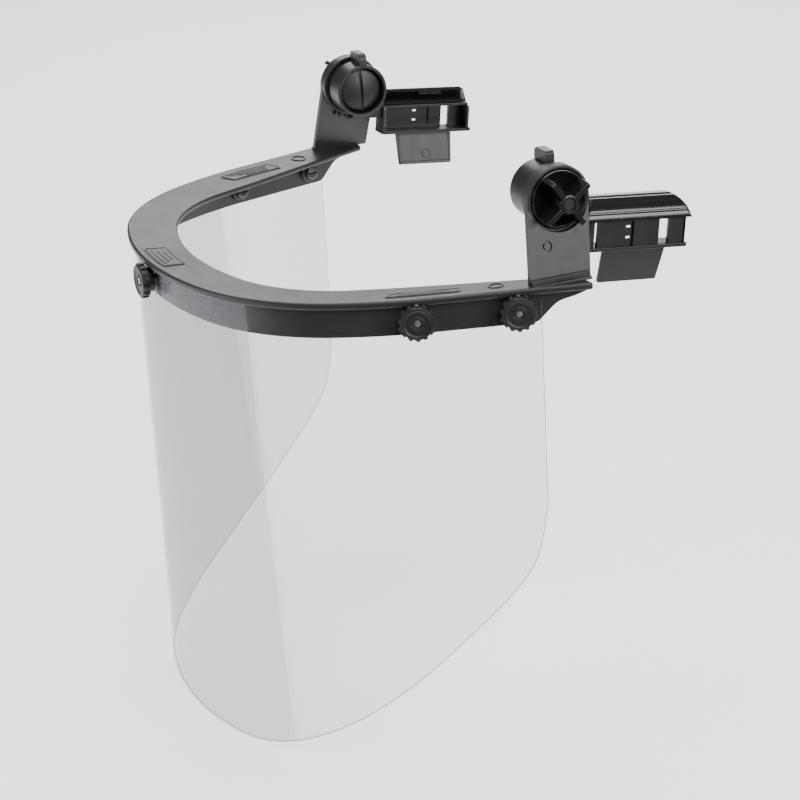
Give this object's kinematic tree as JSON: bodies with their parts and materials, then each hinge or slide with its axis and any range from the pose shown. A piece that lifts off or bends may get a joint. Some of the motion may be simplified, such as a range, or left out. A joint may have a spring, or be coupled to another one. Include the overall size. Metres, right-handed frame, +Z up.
{
  "type": "face shield",
  "caption": "Helmet-mounted face shield: a clear curved window clamped to a U-shaped frame that flips up on two side hinges with helmet slot adapters.",
  "frame": {"origin": "middle of the hinge axis between the two helmet adapters", "axes": "+X towards the wearer's left, along the hinge axis; +Y to the rear; +Z up; the window faces -Y"},
  "size_m": [0.2924, 0.2338, 0.2929],
  "materials": {
    "frame_plastic": "fine moulded grain",
    "hinge_plastic": "fine satin moulding",
    "glossy_plastic": "polished moulding",
    "nut_plastic": "moulded",
    "clear_sheet": "clear polished sheet",
    "screw_steel": "plated",
    "insert_steel": "turned",
    "spring_steel": "blued",
    "washer_plastic": "natural nylon"
  },
  "bodies": {
    "left_adapter": {"left_slot_adapter": "hinge_plastic", "left_adapter_cover": "glossy_plastic", "left_axle_screw": "hinge_plastic", "left_disc_spring": "spring_steel", "left_friction_washer": "washer_plastic"},
    "carrier": {"visor_frame": "frame_plastic", "visor_window": "clear_sheet", "clamp_screws": "screw_steel"},
    "right_adapter": {"right_slot_adapter": "hinge_plastic", "right_adapter_cover": "glossy_plastic", "right_axle_screw": "hinge_plastic", "right_disc_spring": "spring_steel", "right_friction_washer": "washer_plastic"},
    "left_lever": {"left_lever_drum": "hinge_plastic"},
    "right_lever": {"right_lever_drum": "hinge_plastic"},
    "left_knob": {"left_cross_knob": "glossy_plastic", "left_knob_insert": "insert_steel"},
    "right_knob": {"right_cross_knob": "glossy_plastic", "right_knob_insert": "insert_steel"},
    "front_nut": {"front_nut": "nut_plastic", "front_nut_insert": "insert_steel"},
    "left_front_nut": {"left_front_nut": "nut_plastic", "left_front_nut_insert": "insert_steel"},
    "right_front_nut": {"right_front_nut": "nut_plastic", "right_front_nut_insert": "insert_steel"},
    "left_rear_nut": {"left_rear_nut": "nut_plastic", "left_rear_nut_insert": "insert_steel"},
    "right_rear_nut": {"right_rear_nut": "nut_plastic", "right_rear_nut_insert": "insert_steel"}
  },
  "joints": [
    {"name": "visor_flip", "type": "hinge", "parent": "left_adapter", "child": "carrier", "pos_m": [0, 0, 0], "axis": [-1, 0, 0], "range_deg": [0, 95]},
    {"name": "right_pivot", "type": "hinge", "parent": "carrier", "child": "right_adapter", "pos_m": [0, 0, 0], "axis": [-1, 0, 0], "range_deg": [-95, 0]},
    {"name": "left_lever_turn", "type": "hinge", "parent": "left_adapter", "child": "left_lever", "pos_m": [0.113, 0, 0], "axis": [-1, 0, 0], "range_deg": [0, 30]},
    {"name": "left_knob_turn", "type": "hinge", "parent": "left_adapter", "child": "left_knob", "pos_m": [0.126, 0, 0], "axis": [1, 0, 0], "range_deg": [0, 270]},
    {"name": "right_lever_turn", "type": "hinge", "parent": "right_adapter", "child": "right_lever", "pos_m": [-0.113, 0, 0], "axis": [-1, 0, 0], "range_deg": [0, 30]},
    {"name": "right_knob_turn", "type": "hinge", "parent": "right_adapter", "child": "right_knob", "pos_m": [-0.126, 0, 0], "axis": [-1, 0, 0], "range_deg": [0, 270]},
    {"name": "front_nut_turn", "type": "hinge", "parent": "carrier", "child": "front_nut", "pos_m": [0, -0.16, -0.0465], "axis": [0, -1, 0], "continuous": true},
    {"name": "left_front_nut_turn", "type": "hinge", "parent": "carrier", "child": "left_front_nut", "pos_m": [0.12423, -0.072, -0.0465], "axis": [0.9547, -0.2977, 0], "continuous": true},
    {"name": "right_front_nut_turn", "type": "hinge", "parent": "carrier", "child": "right_front_nut", "pos_m": [-0.12423, -0.072, -0.0465], "axis": [-0.9547, -0.2977, 0], "continuous": true},
    {"name": "left_rear_nut_turn", "type": "hinge", "parent": "carrier", "child": "left_rear_nut", "pos_m": [0.13681, -0.027, -0.0465], "axis": [0.9636, -0.2672, 0], "continuous": true},
    {"name": "right_rear_nut_turn", "type": "hinge", "parent": "carrier", "child": "right_rear_nut", "pos_m": [-0.13681, -0.027, -0.0465], "axis": [-0.9636, -0.2672, 0], "continuous": true}
  ],
  "couplings": [
    {"joint": "right_pivot", "follows": "visor_flip", "ratio": -1}
  ]
}
